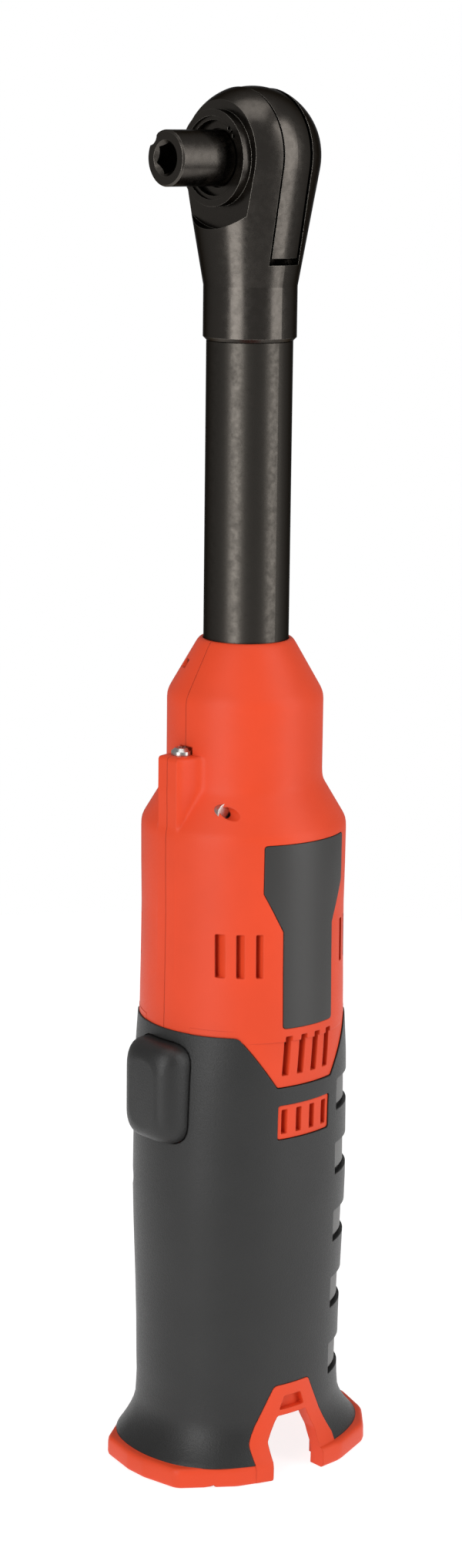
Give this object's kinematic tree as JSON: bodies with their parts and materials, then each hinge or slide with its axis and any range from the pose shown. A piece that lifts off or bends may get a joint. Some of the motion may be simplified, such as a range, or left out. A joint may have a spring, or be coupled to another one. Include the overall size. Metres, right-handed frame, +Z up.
{
  "type": "cordless long-neck ratchet",
  "caption": "Orange and charcoal long-neck cordless ratchet with a black steel head, a round hex-socket output boss, a pad trigger and an open battery base, shown without its battery.",
  "frame": {"origin": "centre of the flat underside of the base ring, on the tool axis, at the mouth of the battery bay", "axes": "+Z up the tool axis to the head; -Y is the front, where the output and the trigger are; +X and -X are the panelled sides"},
  "size_m": [0.0546, 0.0668, 0.3325],
  "materials": {
    "black_steel": "black oxide, satin",
    "tube_steel": "black oxide, slightly rough",
    "bright_steel": "ground steel",
    "bronze": "sintered bronze",
    "alloy": "die cast",
    "motor_steel": "zinc plated",
    "magnet": "sintered",
    "housing_orange": "fine moulded texture",
    "grip_charcoal": "soft-touch overmould, fine grain",
    "panel_grey": "satin, blank",
    "dark_plastic": "plain moulding",
    "board": "solder mask",
    "lens": "clear",
    "contact": "plated",
    "lead": "insulation"
  },
  "bodies": {
    "tool": {"head_housing": "black_steel", "thrust_washer": "bright_steel", "snap_ring": "black_steel", "crank_bearing": "bright_steel", "neck_tube": "tube_steel", "tube_bushing": "bronze", "gear_case": "alloy", "ring_gear": "bright_steel", "carrier_bushing": "bronze", "motor_can": "motor_steel", "motor_magnets": "magnet", "motor_end_bell": "dark_plastic", "motor_brushes": "magnet", "left_housing": "housing_orange", "right_housing": "housing_orange", "left_side_panel": "panel_grey", "right_side_panel": "panel_grey", "grip_sleeve": "grip_charcoal", "base_ring": "housing_orange", "trigger_spring": "bright_steel", "switch_body": "dark_plastic", "circuit_board": "board", "light_lens": "lens", "light_board": "board", "contact_block": "dark_plastic", "contact_blades": "contact", "motor_leads": "lead", "ledge_screw": "bright_steel", "housing_screws": "bright_steel"},
    "output": {"output_anvil": "black_steel", "pawl_springs": "bright_steel"},
    "knob": {"reverse_knob": "dark_plastic", "detent_ball": "bright_steel", "detent_spring": "bright_steel"},
    "forward_pawl": {"forward_pawl": "bright_steel"},
    "reverse_pawl": {"reverse_pawl": "bright_steel"},
    "yoke": {"yoke": "black_steel"},
    "crank": {"crankshaft": "bright_steel", "extension_shaft": "bright_steel", "planet_carrier": "bright_steel"},
    "bushing": {"drive_bushing": "bronze"},
    "planet_a": {"planet_gear_a": "bright_steel"},
    "planet_b": {"planet_gear_b": "bright_steel"},
    "planet_c": {"planet_gear_c": "bright_steel"},
    "rotor": {"rotor": "bright_steel", "motor_pinion": "bright_steel", "motor_fan": "dark_plastic"},
    "trigger": {"trigger": "grip_charcoal"}
  },
  "joints": [
    {"name": "output_spin", "type": "hinge", "parent": "tool", "child": "output", "pos_m": [0, 0, 0.3163], "axis": [0, -1, 0], "continuous": true},
    {"name": "knob_turn", "type": "hinge", "parent": "output", "child": "knob", "pos_m": [0, 0, 0.3163], "axis": [0, 1, 0], "range_deg": [0, 60]},
    {"name": "forward_pawl_pivot", "type": "hinge", "parent": "output", "child": "forward_pawl", "pos_m": [0.0056, 0, 0.3129], "axis": [0, 1, 0], "range_deg": [-4, 4], "stiffness_Nm_per_rad": 0.01},
    {"name": "reverse_pawl_pivot", "type": "hinge", "parent": "output", "child": "reverse_pawl", "pos_m": [-0.0056, 0, 0.3129], "axis": [0, -1, 0], "range_deg": [-4, 4], "stiffness_Nm_per_rad": 0.01},
    {"name": "yoke_rock", "type": "hinge", "parent": "tool", "child": "yoke", "pos_m": [0, 0, 0.3163], "axis": [0, 1, 0], "range_deg": [-3.4, 3.4]},
    {"name": "crank_spin", "type": "hinge", "parent": "tool", "child": "crank", "pos_m": [0, 0, 0.28], "axis": [0, 0, 1], "continuous": true},
    {"name": "bushing_spin", "type": "hinge", "parent": "crank", "child": "bushing", "pos_m": [0.0012, 0, 0.297], "axis": [0, 0, 1], "continuous": true},
    {"name": "planet_a_spin", "type": "hinge", "parent": "crank", "child": "planet_a", "pos_m": [0.00675, 0, 0.16], "axis": [0, 0, 1], "continuous": true},
    {"name": "planet_b_spin", "type": "hinge", "parent": "crank", "child": "planet_b", "pos_m": [-0.00337, 0.00585, 0.16], "axis": [0, 0, 1], "continuous": true},
    {"name": "planet_c_spin", "type": "hinge", "parent": "crank", "child": "planet_c", "pos_m": [-0.00337, -0.00585, 0.16], "axis": [0, 0, 1], "continuous": true},
    {"name": "rotor_spin", "type": "hinge", "parent": "tool", "child": "rotor", "pos_m": [0, 0, 0.13], "axis": [0, 0, 1], "continuous": true},
    {"name": "trigger_press", "type": "slide", "parent": "tool", "child": "trigger", "axis": [0, 1, 0], "range_m": [0, 0.004], "stiffness_N_per_m": 600, "springref_m": -0.004, "deforming": ["trigger_spring"]}
  ],
  "couplings": [
    {"joint": "rotor_spin", "follows": "crank_spin", "ratio": 5},
    {"joint": "planet_a_spin", "follows": "crank_spin", "ratio": -2.6667},
    {"joint": "planet_b_spin", "follows": "crank_spin", "ratio": -2.6667},
    {"joint": "planet_c_spin", "follows": "crank_spin", "ratio": -2.6667},
    {"joint": "bushing_spin", "follows": "crank_spin", "ratio": -1}
  ]
}
